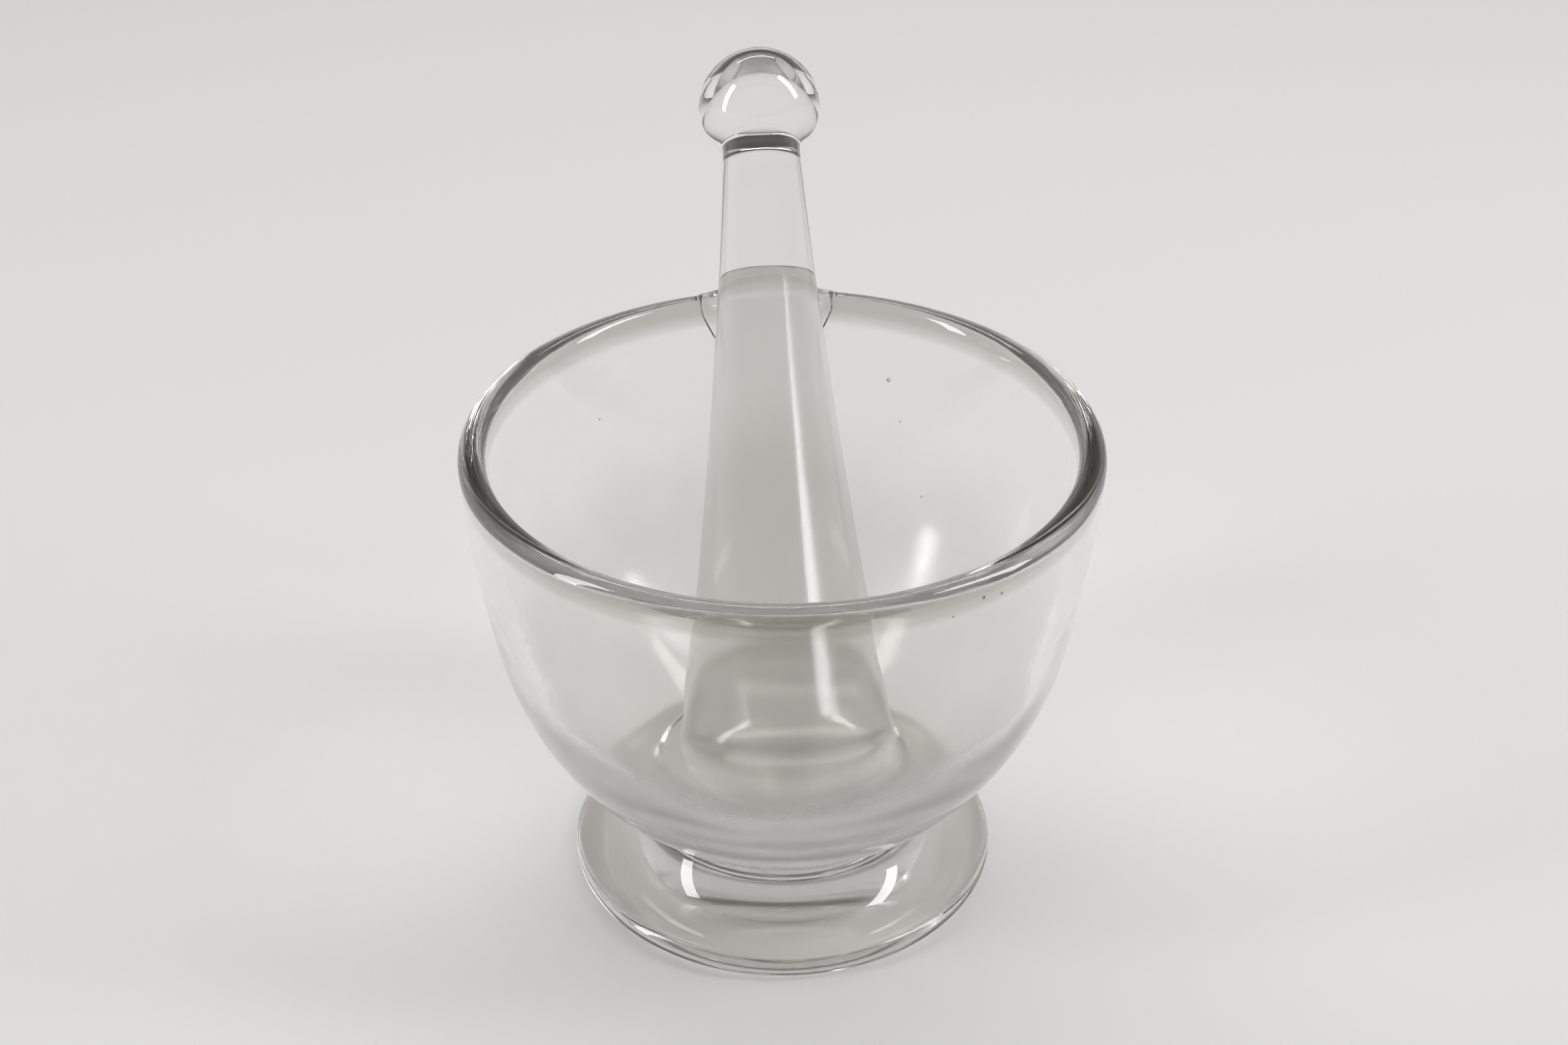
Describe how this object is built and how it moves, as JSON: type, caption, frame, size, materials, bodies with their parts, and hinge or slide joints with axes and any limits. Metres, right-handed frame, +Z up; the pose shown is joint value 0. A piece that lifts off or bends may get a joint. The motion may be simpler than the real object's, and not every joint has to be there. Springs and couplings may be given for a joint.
{
  "type": "mortar and pestle",
  "caption": "Glass mortar with a footed bowl and pour spout, and a loose knobbed glass pestle that leans in the spout and lifts straight out.",
  "frame": {"origin": "middle of the mortar's flat base, on the bowl's axis", "axes": "+Z up along the mortar's axis, +Y towards the pour spout that the pestle leans in, X across"},
  "size_m": [0.11, 0.1423, 0.129],
  "materials": {
    "mortar_glass": "clear pressed glass, fire-polished outside and on the lip, ground matt on the lower inside",
    "pestle_glass": "solid clear glass, polished knob and neck, ground matt below the neck and on the head"
  },
  "bodies": {
    "mortar": {"mortar": "mortar_glass"},
    "pestle": {"pestle": "pestle_glass"}
  },
  "joints": [
    {"name": "pestle_lift", "type": "slide", "parent": "mortar", "child": "pestle", "axis": [0, 0, 1], "range_m": [0, 0.08]}
  ]
}
